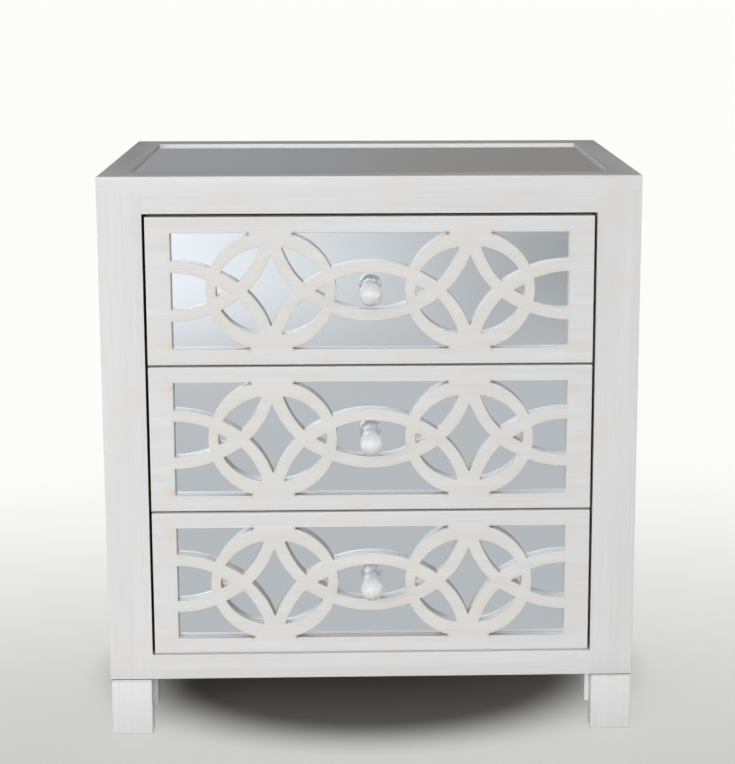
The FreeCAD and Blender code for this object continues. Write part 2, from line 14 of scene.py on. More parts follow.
import bmesh
import bpy
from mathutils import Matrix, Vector
from mathutils.kdtree import KDTree


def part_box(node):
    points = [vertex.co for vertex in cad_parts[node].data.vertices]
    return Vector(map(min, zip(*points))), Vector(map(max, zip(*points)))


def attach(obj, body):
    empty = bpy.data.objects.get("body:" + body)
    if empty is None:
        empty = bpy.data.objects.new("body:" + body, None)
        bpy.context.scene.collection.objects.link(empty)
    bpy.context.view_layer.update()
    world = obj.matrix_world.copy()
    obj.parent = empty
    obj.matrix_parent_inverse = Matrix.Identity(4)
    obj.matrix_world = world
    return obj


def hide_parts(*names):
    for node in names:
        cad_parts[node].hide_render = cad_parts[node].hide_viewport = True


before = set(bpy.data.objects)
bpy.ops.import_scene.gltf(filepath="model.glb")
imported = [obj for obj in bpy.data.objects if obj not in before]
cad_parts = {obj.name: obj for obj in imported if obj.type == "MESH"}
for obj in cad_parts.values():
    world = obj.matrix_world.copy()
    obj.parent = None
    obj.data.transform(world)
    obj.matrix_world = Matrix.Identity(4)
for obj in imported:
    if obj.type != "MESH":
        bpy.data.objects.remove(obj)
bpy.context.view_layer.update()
bpy.ops.object.select_all(action="DESELECT")
MM = 0.001
DRAWERS = ("bottom", "middle", "top")

# %% [markdown]
# ## Camera
#
# The photograph was taken from a little above the top of the chest and almost straight in front of it.
# A camera can be matched by eye, or worked out from points whose real places are known. Here the corners
# of the case were used: they give the focal length in pixels, the height of the lens and its tilt. The
# upright edges lean in by less than such a tilt would give in a whole picture, because the photograph is
# cut from a larger one, so the lens is shifted a little.

# %% Place the camera
PICTURE_HEIGHT = 764
FOCAL_PIXELS = 1841.4
SENSOR = 36
LENS_PLACE = (-0.0214, -2.4187, 0.9597)
LENS_TILT_DOWN = 10.308
LENS_TURN_RIGHT = 1.777
LENS_SHIFT = (-0.0548, -0.1059)

bpy.ops.object.camera_add(
    location=LENS_PLACE,
    rotation=(math.radians(90 - LENS_TILT_DOWN), 0, math.radians(-LENS_TURN_RIGHT)),
)
camera = bpy.context.object
camera.data.sensor_width = SENSOR
camera.data.lens = FOCAL_PIXELS * SENSOR / PICTURE_HEIGHT
camera.data.shift_x, camera.data.shift_y = LENS_SHIFT
bpy.context.scene.camera = camera
print(f"lens of {camera.data.lens:.1f} mm")

# %% [markdown]
# ## Tools for modelling
#
# Most pieces below are made as by hand: a primitive is added, opened in edit mode, and shaped by operators
# that act on what is selected. The cut panels and their mirrors start as copies of the solids instead.
# A few small functions open a piece, select the parts of it that pass a test of place or direction, and
# round over its edges.

# %% Open a piece and select by place
SAME_PLACE = 0.01 * MM
ALONG_SHARE = 0.999
EASE_SEGMENTS = 3
CORNER_SEGMENTS = 4


def select_only(piece):
    """Make one piece the only selected one, and the active one."""
    bpy.ops.object.select_all(action="DESELECT")
    piece.select_set(True)
    bpy.context.view_layer.objects.active = piece


def open_piece(piece):
    """Open one piece in edit mode."""
    select_only(piece)
    bpy.ops.object.mode_set(mode="EDIT")


def close_piece():
    bpy.ops.object.mode_set(mode="OBJECT")


def pick(piece, kind, test):
    """Select the vertices, edges or faces of an open piece that pass a test, and nothing else."""
    bpy.context.tool_settings.mesh_select_mode = (kind == "verts", kind == "edges", kind == "faces")
    bpy.ops.mesh.select_all(action="DESELECT")
    shape = bmesh.from_edit_mesh(piece.data)
    chosen = [part for part in getattr(shape, kind) if test(part)]
    for part in chosen:
        part.select_set(True)
    shape.select_flush_mode()
    bmesh.update_edit_mesh(piece.data)
    return len(chosen)


def middle(edge):
    return (edge.verts[0].co + edge.verts[1].co) / 2


def along(edge, axis):
    """True for an edge that runs along axis 0, 1 or 2."""
    step = edge.verts[1].co - edge.verts[0].co
    return abs(step[axis]) > ALONG_SHARE * step.length


def level(value, target):
    """True where two lengths agree within a hundredth of a millimetre."""
    return abs(value - target) < SAME_PLACE


def on_axis(axis, value):
    """A vector with one value on one axis."""
    return [value if index == axis else 0 for index in range(3)]


def slice_selected(axis, place):
    """Cut the selected faces of the open piece along a plane square to one axis."""
    bpy.ops.mesh.bisect(plane_co=on_axis(axis, place), plane_no=on_axis(axis, 1))


def ease(piece, radius, test, segments=EASE_SEGMENTS):
    """Round over the edges that pass a test, as sanding and paint do."""
    open_piece(piece)
    count = pick(piece, "edges", test)
    bpy.ops.mesh.bevel(offset=radius, offset_type="OFFSET", segments=segments, affect="EDGES")
    close_piece()
    return count


def push_back(piece, plane, step):
    """Move the points of a piece that lie in one upright plane straight back."""
    open_piece(piece)
    pick(piece, "verts", lambda vert: level(vert.co.y, plane))
    bpy.ops.transform.translate(value=(0, step, 0))
    close_piece()


def name_mesh(piece, name):
    piece.name = name
    piece.data.name = name
    return piece


# %% [markdown]
# ## Colour and nodes
#
# Colours are written as sRGB hex values, the way a colour picker shows them, and Blender's nodes want
# them linear. One function converts them. A second one adds a node, sets it and links it in one line.
# A node that is given as an input stands for its result. Inputs go by their label, or by their number where
# labels repeat: in a Mix node for colours the amount is input 0, and the two colours are inputs 6 and 7.


# %% Convert colours and add nodes
def linear(text):
    """An sRGB hex colour as linear red, green and blue, with full alpha."""
    parts = [int(text[index:index + 2], 16) / 255 for index in (1, 3, 5)]
    return [part / 12.92 if part <= 0.04045 else ((part + 0.055) / 1.055) ** 2.4 for part in parts] + [1]


def set_inputs(tree, node, inputs):
    """Set a node's inputs to plain values, or link them to sockets or to the results of other nodes."""
    for name, value in inputs.items():
        if isinstance(value, bpy.types.Node):
            value = next(socket for socket in value.outputs if socket.enabled)
        if isinstance(value, bpy.types.NodeSocket):
            tree.links.new(value, node.inputs[name])
        else:
            node.inputs[name].default_value = value


def add_node(tree, kind, inputs=None, **settings):
    """Add a shader node with its settings and its inputs."""
    node = tree.nodes.new("ShaderNode" + kind)
    for name, value in settings.items():
        setattr(node, name, value)
    set_inputs(tree, node, inputs or {})
    return node


def new_material(name):
    """An empty material, its node tree, its surface shader and the place on the object."""
    material = bpy.data.materials.new(name)
    material.use_nodes = True
    tree = material.node_tree
    shader = tree.nodes["Principled BSDF"]
    place = add_node(tree, "TexCoord").outputs["Object"]
    return material, tree, shader, place


def drawn_out_noise(tree, place, axis, length, width, detail, roughness=0.5):
    """A noise pattern stretched along one axis, in patches about that long and wide."""
    scales = [1 / length if index == axis else 1 / width for index in range(3)]
    mapped = add_node(tree, "Mapping", {"Vector": place, "Scale": scales})
    return add_node(
        tree, "TexNoise", {"Vector": mapped, "Scale": 1, "Detail": detail, "Roughness": roughness})


# %% [markdown]
# ## Antique white paint
#
# The paint on the real chest is a soft white over wood, laid on with a coarse brush and then glazed: fine
# streaks run along each board, faint warm blotches lie over them, and the glaze is darkest where it
# gathered in tight corners and along cut edges. Painted shade adds to the brown in sharp points and
# darkens the walls that face right. The streaks are noise that is stretched along the board, so there is one
# material for each brush direction. The streaks of the real paint are about half a millimetre wide; they
# are drawn near 2 mm so that they show.
#
# The points of the fretwork carry four values that say how the paint is worn and where shade is painted,
# and boards without them stay clean. Rub brings the cream and tan glaze along the edges. A second value
# brings the brown: partly glaze gathered in sharp points and partly painted shade there, and painted shade
# on the walls that face right. Cut makes the walls of the openings smoother, and dry takes most of the
# shine off those walls that do not face up.

# %% Make the paint for three brush directions
WEAR_AND_SHADE = ("rub", "brown_glaze_and_shade", "cut", "dry")
PAINT_PALE = "#EEEEEF"
PAINT_STREAK = "#E6E6E6"
PAINT_PATCH = "#EAE4DD"
GLAZE_CREAM = "#E8DCC2"
GLAZE_TAN = "#CFB092"
BROWN_GLAZE_AND_SHADE = "#8A745C"
STREAK_WIDTH = 1.8 * MM
STREAK_LENGTH = 120 * MM
BAND_WIDTH = 11 * MM
BAND_LENGTH = 320 * MM
PATCH_SIZE = 70 * MM
RUB_PATCH_LENGTH = 40 * MM
RUB_PATCH_WIDTH = 5 * MM
RUB_LEAST = 0.45
TAN_MOST = 0.7
PAINT_IOR = 1.48
PAINT_SMOOTH = 0.36
PAINT_ROUGH = 0.54
CUT_ROUGH = 0.22
PLAIN_SHINE = 0.5
DRY_SHINE = 0.07
BRUSH_RELIEF = 0.15 * MM


def brushed_paint(name, axis):
    """Paint whose brush streaks run along one axis."""
    material, tree, shader, place = new_material(name)
    streaks = drawn_out_noise(tree, place, axis, STREAK_LENGTH, STREAK_WIDTH, 3, 0.6)
    bands = drawn_out_noise(tree, place, axis, BAND_LENGTH, BAND_WIDTH, 2)
    patches = add_node(tree, "TexNoise", {"Vector": place, "Scale": 1 / PATCH_SIZE, "Detail": 3})
    blend = add_node(tree, "Math", {0: streaks, 1: bands}, operation="ADD")
    amount = add_node(tree, "MapRange", {"Value": blend, "From Min": 0.75, "From Max": 1.25})
    coat = add_node(
        tree, "Mix", {0: amount, 6: linear(PAINT_STREAK), 7: linear(PAINT_PALE)}, data_type="RGBA")
    warm = add_node(tree, "MapRange", {"Value": patches, "From Min": 0.5, "From Max": 0.75, "To Max": 0.5})
    aged = add_node(tree, "Mix", {0: warm, 6: coat, 7: linear(PAINT_PATCH)}, data_type="RGBA")

    rub, brown_glaze_and_shade, cut, dry = [add_node(tree, "Attribute", attribute_name=word).outputs["Fac"] for word in WEAR_AND_SHADE]
    spots = drawn_out_noise(tree, place, axis, RUB_PATCH_LENGTH, RUB_PATCH_WIDTH, 3)
    gate = add_node(
        tree, "MapRange", {"Value": spots, "From Min": 0.35, "From Max": 0.7, "To Min": RUB_LEAST})
    rubbed = add_node(tree, "Math", {0: rub, 1: gate}, operation="MULTIPLY")
    cream = add_node(tree, "Mix", {0: rubbed, 6: aged, 7: linear(GLAZE_CREAM)}, data_type="RGBA")
    heavy = add_node(
        tree, "MapRange", {"Value": rubbed, "From Min": 0.5, "From Max": 1, "To Max": TAN_MOST})
    tan = add_node(tree, "Mix", {0: heavy, 6: cream, 7: linear(GLAZE_TAN)}, data_type="RGBA")
    # The brown is partly glaze in sharp points and partly painted shade there and on walls that face right.
    brown = add_node(tree, "Mix", {0: brown_glaze_and_shade, 6: tan, 7: linear(BROWN_GLAZE_AND_SHADE)}, data_type="RGBA")

    sheen = add_node(tree, "MapRange", {"Value": streaks, "To Min": PAINT_SMOOTH, "To Max": PAINT_ROUGH})
    gloss = add_node(tree, "Mix", {0: cut, 2: sheen, 3: CUT_ROUGH})
    shine = add_node(tree, "MapRange", {"Value": dry, "To Min": PLAIN_SHINE, "To Max": DRY_SHINE})
    relief = add_node(tree, "Bump", {"Height": blend, "Strength": 0.25, "Distance": BRUSH_RELIEF})
    set_inputs(tree, shader, {
        "Base Color": brown, "Roughness": gloss, "Specular IOR Level": shine, "Normal": relief,
        "IOR": PAINT_IOR})
    return material


paint_across = brushed_paint("antique_white_paint_brushed_across", 0)
paint_deep = brushed_paint("antique_white_paint_brushed_front_to_back", 1)
paint_upright = brushed_paint("antique_white_paint_brushed_upright", 2)
print("paint for three brush directions")

# %% [markdown]
# ## Bare wood
#
# Inside, the chest is plain: planed pine for the runners, rails and drawer boxes, and thin plywood for the
# back and the bottoms. Pine shows growth lines a few millimetres apart that wander along the board, with
# fine fibres between them. Plywood is peeled from the log, so its figure is broader and paler. The gaps
# beside the drawers are nearly black on the left of the real chest and dull on the right, where they lie in
# shade, so the walls that show in them take a dark or a dull wood colour as painted shade instead of paint.

# %% Make pine and plywood
FIBRE_WIDTH = 0.9 * MM
FIBRE_LENGTH = 60 * MM
FIBRE_RELIEF = 0.1 * MM
WOOD_SMOOTH = 0.5
WOOD_ROUGH = 0.68
GRAIN_STRETCH = 40
PINE_LINES = 5 * MM
PINE_WANDER = 60 * MM
PINE_TONES = ("#DDBE91", "#B98A57")
PLYWOOD_LINES = 14 * MM
PLYWOOD_WANDER = 110 * MM
PLYWOOD_TONES = ("#D9BE96", "#C29D6E")
DARK_SHADE_TONES = ("#3B342E", "#2C2622")
DULL_SHADE_TONES = ("#B5ABA0", "#A0968B")
STRONG_LINES = 0.8
FAINT_LINES = 0.6


def bare_wood(name, axis, tones, spacing, wander, contrast):
    """Wood with its grain along one axis and growth lines that far apart."""
    material, tree, shader, place = new_material(name)
    pale, dark = [linear(tone) for tone in tones]
    fibres = drawn_out_noise(tree, place, axis, FIBRE_LENGTH, FIBRE_WIDTH, 2)
    lines = drawn_out_noise(tree, place, axis, GRAIN_STRETCH * wander, wander, 1)
    rings = add_node(tree, "Math", {0: lines, 1: wander / spacing}, operation="MULTIPLY")
    wave = add_node(tree, "Math", {0: rings, 1: 1}, operation="PINGPONG")
    line = add_node(tree, "MapRange", {"Value": wave, "From Min": 0.55, "To Max": contrast})
    mixed = add_node(tree, "Mix", {0: line, 6: pale, 7: dark}, data_type="RGBA")
    pores = add_node(tree, "MapRange", {"Value": fibres, "From Min": 0.55, "From Max": 0.8, "To Max": 0.35})
    grain = add_node(tree, "Mix", {0: pores, 6: mixed, 7: dark}, data_type="RGBA")
    rough = add_node(tree, "MapRange", {"Value": fibres, "To Min": WOOD_SMOOTH, "To Max": WOOD_ROUGH})
    relief = add_node(tree, "Bump", {"Height": fibres, "Strength": 0.2, "Distance": FIBRE_RELIEF})
    set_inputs(tree, shader, {"Base Color": grain, "Roughness": rough, "Normal": relief})
    return material


PLYWOOD_FIGURE = (PLYWOOD_TONES, PLYWOOD_LINES, PLYWOOD_WANDER, FAINT_LINES)
pine_across = bare_wood("planed_pine_along_x", 0, PINE_TONES, PINE_LINES, PINE_WANDER, STRONG_LINES)
pine_deep = bare_wood("planed_pine_along_y", 1, PINE_TONES, PINE_LINES, PINE_WANDER, STRONG_LINES)
plywood_across = bare_wood("sanded_plywood_along_x", 0, *PLYWOOD_FIGURE)
plywood_upright = bare_wood("sanded_plywood_along_z", 2, *PLYWOOD_FIGURE)
# The two dark wood colours are painted shade, for walls in gaps and seams that lie in shade.
dark_shade_wood = bare_wood("dark_painted_shade_pine", 0, DARK_SHADE_TONES, PINE_LINES, PINE_WANDER, FAINT_LINES)
dull_shade_wood = bare_wood("dull_painted_shade_pine", 2, DULL_SHADE_TONES, PINE_LINES, PINE_WANDER, FAINT_LINES)
print("pine, plywood and two stains")

# %% [markdown]
# ## Mirror, glaze and steel
#
# A mirror is clear glass with silver behind it. Seen from the front it acts as a smooth metal with a
# slightly cool tint from the glass, so that is how it is made, with faint clouding in its roughness.
# The knobs are glazed ceramic: a bright white body under a clear glossy coat. Light sinks a little way
# into such a body, which keeps its shaded side pale. The bolts and screws are zinc-plated steel, a metal
# with a fine mottle.

# %% Make mirror, glaze and steel
MIRROR_TINT = "#E2E8EE"
MIRROR_SMOOTH = 0.02
MIRROR_ROUGH = 0.07
CLOUD_SIZE = 45 * MM
GLAZE_WHITE = "#F4F4F6"
GLAZE_SHADE = "#EEEEF0"
GLAZE_SMOOTH = 0.1
GLAZE_ROUGH = 0.18
GLAZE_POOL_SIZE = 9 * MM
GLAZE_IOR = 1.52
GLAZE_COAT = 0.4
BODY_DEPTH = 25 * MM
ZINC_PALE = "#C9C9CB"
ZINC_DARK = "#A6A7AA"
ZINC_SMOOTH = 0.28
ZINC_ROUGH = 0.45
MOTTLE_SIZE = 2 * MM

mirror, tree, shader, place = new_material("silvered_mirror_glass")
cloud = add_node(tree, "TexNoise", {"Vector": place, "Scale": 1 / CLOUD_SIZE, "Detail": 2})
haze = add_node(tree, "MapRange", {"Value": cloud, "To Min": MIRROR_SMOOTH, "To Max": MIRROR_ROUGH})
set_inputs(tree, shader, {"Base Color": linear(MIRROR_TINT), "Metallic": 1, "Roughness": haze})

glaze, tree, shader, place = new_material("white_glazed_ceramic")
pooling = add_node(tree, "TexNoise", {"Vector": place, "Scale": 1 / GLAZE_POOL_SIZE, "Detail": 2})
body_white = add_node(
    tree, "Mix", {0: pooling, 6: linear(GLAZE_WHITE), 7: linear(GLAZE_SHADE)}, data_type="RGBA")
gloss = add_node(tree, "MapRange", {"Value": pooling, "To Min": GLAZE_SMOOTH, "To Max": GLAZE_ROUGH})
set_inputs(tree, shader, {
    "Base Color": body_white, "Roughness": gloss, "IOR": GLAZE_IOR, "Coat Weight": GLAZE_COAT,
    "Subsurface Weight": 1, "Subsurface Radius": (1, 1, 1), "Subsurface Scale": BODY_DEPTH})

zinc, tree, shader, place = new_material("zinc_plated_steel")
mottle = add_node(tree, "TexNoise", {"Vector": place, "Scale": 1 / MOTTLE_SIZE, "Detail": 3})
plating = add_node(tree, "Mix", {0: mottle, 6: linear(ZINC_PALE), 7: linear(ZINC_DARK)}, data_type="RGBA")
dull = add_node(tree, "MapRange", {"Value": mottle, "To Min": ZINC_SMOOTH, "To Max": ZINC_ROUGH})
set_inputs(tree, shader, {"Base Color": plating, "Metallic": 1, "Roughness": dull})
print("mirror, glaze and steel")

# %% [markdown]
# ## Finishing a piece
#
# A finished piece rides on a body of the solid model, stands for the plain solids that it covers, and
# takes its materials face by face.

# %% Finish a piece
SMOOTH_ANGLE = 40


def finish_piece(piece, body, nodes, materials, choose=None, smooth=SMOOTH_ANGLE):
    """Give a piece its materials and body, and hide the solids that it stands for."""
    piece.data.materials.clear()
    for material in materials:
        piece.data.materials.append(material)
    for face in piece.data.polygons:
        face.material_index = choose(face) if choose else 0
    select_only(piece)
    bpy.ops.object.shade_smooth_by_angle(angle=math.radians(smooth))
    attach(piece, body)
    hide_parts(*nodes)
    print(f"{piece.name}: {len(piece.data.polygons)} faces")


# %% [markdown]
# ## Boards cut from a sheet
#
# Most boards here are flat, with straight outlines. Such a board could be built from boxes, but boxes
# leave seams where they meet. A sheet has none: it is cut along lines, the waste is taken out, and the
# rest is pulled to the thickness of the board.


# %% Cut a board from a sheet
def new_sheet(name, spot, size, turn=(0, 0, 0)):
    """A flat rectangle with its place and size in its mesh, left open in edit mode."""
    bpy.ops.object.select_all(action="DESELECT")
    bpy.ops.mesh.primitive_plane_add(size=1, location=spot, rotation=turn)
    sheet = name_mesh(bpy.context.object, name)
    sheet.scale = (*size, 1)
    bpy.ops.object.transform_apply(location=True, rotation=True, scale=True)
    open_piece(sheet)
    return sheet


def pull_sheet(step):
    """Give the open sheet its thickness, turn its faces outwards and close it."""
    bpy.ops.mesh.select_all(action="SELECT")
    bpy.ops.mesh.extrude_region_move(TRANSFORM_OT_translate={"value": step})
    bpy.ops.mesh.select_all(action="SELECT")
    bpy.ops.mesh.normals_make_consistent(inside=False)
    close_piece()


def sheet_cut(name, low, high, flat, cuts, waste):
    """A board cut from a sheet at the low side of axis flat, which is 1 or 2."""
    low, high = Vector(low), Vector(high)
    turn = {1: (math.radians(90), 0, 0), 2: (0, 0, 0)}[flat]
    across, up = {1: (0, 2), 2: (0, 1)}[flat]
    spot = (low + high) / 2
    spot[flat] = low[flat]
    piece = new_sheet(name, spot, (high[across] - low[across], high[up] - low[up]), turn)
    for axis, place in cuts:
        bpy.ops.mesh.select_all(action="SELECT")
        slice_selected(axis, place)
    pick(piece, "faces", lambda face: waste(face.calc_center_median()))
    bpy.ops.mesh.delete(type="FACE")
    pull_sheet(on_axis(flat, high[flat] - low[flat]))
    return piece


# %% [markdown]
# ## Face frame
#
# The front of the case is a frame of two upright stiles and two rails, glued and painted over so that no
# joint shows. Four boards would show hairlines where their softened edges meet, so the frame is cut as
# one piece. Only the free edges are eased, and the side walls of the opening take painted shade: dark on
# the left and dull on the right.

# %% Model the face frame
CORNER_EASE = 1.6 * MM
EDGE_EASE = 0.5 * MM
FACES_ASIDE = 0.9
left_stile_low, left_stile_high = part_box("left_stile")
right_stile_low, right_stile_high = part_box("right_stile")
opening_half = right_stile_low.x
opening_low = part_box("bottom_rail")[1].z
opening_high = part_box("top_rail")[0].z
half_width = right_stile_high.x
front = left_stile_low.y
face_back = left_stile_high.y
case_bottom = left_stile_low.z


def in_opening(spot):
    return abs(spot.x) < opening_half and opening_low < spot.z < opening_high


face_frame = sheet_cut(
    "face_frame", left_stile_low, right_stile_high, 1,
    [(0, -opening_half), (0, opening_half), (2, opening_low), (2, opening_high)], in_opening)


def frame_corner(edge):
    spot = middle(edge)
    return level(spot.y, front) and level(abs(spot.x), half_width) and along(edge, 2)


def opening_edge(edge):
    spot = middle(edge)
    if not level(spot.y, front) or along(edge, 1):
        return False
    beside = level(abs(spot.x), opening_half) and opening_low < spot.z < opening_high
    above = (level(spot.z, opening_low) or level(spot.z, opening_high)) and abs(spot.x) < opening_half
    return beside or above


def frame_foot_edge(edge):
    spot = middle(edge)
    return level(spot.z, case_bottom) and level(spot.y, front) and along(edge, 0)


def frame_finish(face):
    """Painted shade on the side walls of the opening, and a brush direction for the stiles and for the rails.
    """
    if level(abs(face.center.x), opening_half) and abs(face.normal.x) > FACES_ASIDE:
        return 2 if face.center.x < 0 else 3
    return int(abs(face.center.x) > opening_half)


ease(face_frame, EDGE_EASE, lambda edge: opening_edge(edge) or frame_foot_edge(edge))
ease(face_frame, CORNER_EASE, frame_corner, CORNER_SEGMENTS)
finish_piece(
    face_frame, "case", ["left_stile", "right_stile", "top_rail", "bottom_rail"],
    [paint_across, paint_upright, dark_shade_wood, dull_shade_wood], frame_finish)

# %% [markdown]
# ## Side panels
#
# Each side is one board, flush with the stile in front of it and rebated at the back for the thin back
# panel. The same way of working gives the rebate: a sheet with the shape of the board seen from above is
# cut, its corner is taken out, and it is pulled up to the height of the case.

# %% Model the side panels
REBATE_WIDTH = 9 * MM
back_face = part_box("back_panel")[0].y
for word, side in (("left", -1), ("right", 1)):
    low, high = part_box(f"{word}_side_panel")
    inside = high.x if side < 0 else low.x
    rebate = inside + side * REBATE_WIDTH
    outside = side * half_width
    back = high.y
    panel = sheet_cut(
        f"{word}_side_board", low, high, 2, [(0, rebate), (1, back_face)],
        lambda spot: spot.y > back_face and abs(spot.x) < abs(rebate))

    def rear_corner(edge):
        spot = middle(edge)
        return along(edge, 2) and level(spot.x, outside) and level(spot.y, back)

    def lower_edge(edge):
        spot = middle(edge)
        return along(edge, 1) and level(spot.x, outside) and level(spot.z, case_bottom)

    ease(panel, EDGE_EASE, lower_edge)
    ease(panel, CORNER_EASE, rear_corner, CORNER_SEGMENTS)
    finish_piece(panel, "case", [f"{word}_side_panel"], [paint_upright])

# %% [markdown]
# ## Top frame
#
# Four mitred boards make the border of the top. A flat sheet is inset once, which gives the mitre lines
# at its corners, and its inner edges are moved to the widths of the boards. The middle is then taken out
# and the border pulled down. Each board keeps its own brush direction, so the mitres show faintly. The
# inner wall of the left board faces away from the light and looks dull on the real chest, so it takes a dull
# wood colour as painted shade.

# %% Model the top frame
GLASS_GAP = 0.6 * MM
WALL_TURN = 0.5
top_low, top_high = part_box("top_frame_front")
back_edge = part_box("top_frame_back")[1].y
glass_low, glass_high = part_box("top_mirror")
side_border = half_width - glass_high.x - GLASS_GAP
front_border = glass_low.y - GLASS_GAP - front

top_frame = new_sheet(
    "top_frame", (0, (front + back_edge) / 2, top_high.z), (2 * half_width, back_edge - front))
bpy.ops.mesh.select_all(action="SELECT")
bpy.ops.mesh.inset(thickness=side_border, use_even_offset=True)
for edge_place, way in ((front + side_border, 1), (back_edge - side_border, -1)):
    pick(top_frame, "verts", lambda vert: level(vert.co.y, edge_place))
    bpy.ops.transform.translate(value=(0, way * (front_border - side_border), 0))


def over_glass(face):
    spot = face.calc_center_median()
    return abs(spot.x) < half_width - side_border and front + front_border < spot.y < back_edge - front_border


pick(top_frame, "faces", over_glass)
bpy.ops.mesh.delete(type="FACE")
pull_sheet((0, 0, top_low.z - top_high.z))


def top_outer_edge(edge):
    spot = middle(edge)
    at_side = level(abs(spot.x), half_width)
    at_end = level(spot.y, front) or level(spot.y, back_edge)
    if along(edge, 2):
        return at_side and at_end
    return level(spot.z, top_high.z) and (at_side or at_end)


def top_inner_edge(edge):
    spot = middle(edge)
    inner_side = level(abs(spot.x), half_width - side_border)
    inner_end = level(spot.y, front + front_border) or level(spot.y, back_edge - front_border)
    return level(spot.z, top_high.z) and ((inner_side and along(edge, 1)) or (inner_end and along(edge, 0)))


def side_member(face):
    """The brush direction of a board, or painted dull shade on the inner wall of the left one."""
    if face.normal.x > WALL_TURN and face.center.x < 0:
        return 2
    from_side = (half_width - abs(face.center.x)) / side_border
    from_end = min(face.center.y - front, back_edge - face.center.y) / front_border
    return int(from_side < from_end)


ease(top_frame, EDGE_EASE, top_inner_edge)
ease(top_frame, CORNER_EASE, top_outer_edge, CORNER_SEGMENTS)
finish_piece(
    top_frame, "case", [f"top_frame_{end}" for end in ("front", "right", "back", "left")],
    [paint_across, paint_deep, dull_shade_wood], side_member)

# %% [markdown]
# ## Feet
#
# Each foot is an angle of two boards that stand under the front and the side of the case. Its upright
# outer edges are rounded over. A fine groove near the top sets off a narrow collar, and a small slope
# above it, coloured dark as painted shade, makes the line that shows between the foot and the case. The
# angle is cut from a sheet and pulled up, and the groove is a ring of the wall that is drawn in along its
# normals.

# %% Model the feet
FOOT_EASE = 1.8 * MM
FOOT_SLOPE = 1.1 * MM
FOOT_SOLE = 1.5 * MM
COLLAR_HEIGHT = 4.0 * MM
GROOVE_HALF = 0.7 * MM
GROOVE_DEPTH = 0.5 * MM
FACES_UP = 0.3
inside_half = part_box("right_side_panel")[0].x
rear_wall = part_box("rear_bottom_rail")[0].y

for corner in ("front_left", "front_right", "rear_left", "rear_right"):
    low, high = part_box(f"{corner}_foot")
    side = 1 if low.x > 0 else -1
    end = -1 if low.y < 0 else 1
    wing_x = side * inside_half
    wing_y = face_back if end < 0 else rear_wall
    outer_x = high.x if side > 0 else low.x
    outer_y = high.y if end > 0 else low.y
    foot = sheet_cut(
        f"{corner}_foot_bracket", low, high, 2, [(0, wing_x), (1, wing_y)],
        lambda spot: side * spot.x < side * wing_x and end * spot.y < end * wing_y)

    def foot_corner(edge):
        spot = middle(edge)
        outside = level(spot.x, outer_x) or level(spot.y, outer_y)
        return along(edge, 2) and outside and not (level(spot.x, wing_x) or level(spot.y, wing_y))

    ease(foot, FOOT_EASE, foot_corner, CORNER_SEGMENTS)
    ease(foot, FOOT_SLOPE, lambda edge: all(level(vert.co.z, high.z) for vert in edge.verts), segments=1)
    ease(foot, FOOT_SOLE, lambda edge: all(level(vert.co.z, low.z) for vert in edge.verts))
    open_piece(foot)
    groove = high.z - COLLAR_HEIGHT
    for cut in (groove - GROOVE_HALF, groove, groove + GROOVE_HALF):
        bpy.ops.mesh.select_all(action="SELECT")
        slice_selected(2, cut)
    pick(foot, "verts", lambda vert: level(vert.co.z, groove))
    bpy.ops.transform.shrink_fatten(value=-GROOVE_DEPTH)
    close_piece()
    # The slope at the top takes the dark wood colour, painted shade for the seam under the case.
    finish_piece(
        foot, "case", [f"{corner}_foot"], [paint_upright, dark_shade_wood],
        lambda face: int(face.normal.z > FACES_UP and face.center.z > high.z - FOOT_SLOPE))

# %% [markdown]
# ## Fretwork panels
#
# The rings and bands are cut from one board, and the solid has their outline already, so a copy of it is
# the start. The solid's mesh is loose triangles: the copy is merged, and its flat triangles are dissolved
# into whole faces. The outlines of the openings are then followed along the front edges of their walls.

# %% Copy the panel and follow its openings
MERGE_REACH = 0.002 * MM
FLAT_ANGLE = 0.05
WALL_SLOPE = 0.5


def merged_copy(node, name):
    """A copy of a solid's mesh with its triangles joined into whole flat faces."""
    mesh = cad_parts[node].data.copy()
    piece = bpy.data.objects.new(name, mesh)
    bpy.context.scene.collection.objects.link(piece)
    name_mesh(piece, name)
    open_piece(piece)
    bpy.ops.mesh.select_all(action="SELECT")
    bpy.ops.mesh.remove_doubles(threshold=MERGE_REACH)
    bpy.ops.mesh.dissolve_limited(angle_limit=math.radians(FLAT_ANGLE), delimit={"NORMAL"})
    close_piece()
    return piece


fret_low, fret_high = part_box("bottom_drawer_fretwork")
first_fret = merged_copy("bottom_drawer_fretwork", "bottom_drawer_fret_panel")


def fret_front_edge(edge):
    """True for an edge between the front of the panel and a wall."""
    if not all(level(vert.co.y, fret_low.y) for vert in edge.verts):
        return False
    return any(abs(face.normal.y) < WALL_SLOPE for face in edge.link_faces)


def front_outlines(piece):
    """The closed outlines of the front face, each a list of points in order."""
    shape = bmesh.new()
    shape.from_mesh(piece.data)
    next_to = {}
    for edge in shape.edges:
        if fret_front_edge(edge):
            one, two = edge.verts
            next_to.setdefault(one.index, []).append(two.index)
            next_to.setdefault(two.index, []).append(one.index)
    places = {vert.index: vert.co.copy() for vert in shape.verts}
    shape.free()
    loops = []
    unseen = set(next_to)
    while unseen:
        start = unseen.pop()
        chain = [start]
        while True:
            onward = [index for index in next_to[chain[-1]] if index in unseen]
            if not onward:
                break
            unseen.remove(onward[0])
            chain.append(onward[0])
        loops.append([places[index] for index in chain])
    return loops


solid_outlines = front_outlines(first_fret)
print(f"{len(solid_outlines)} outlines")

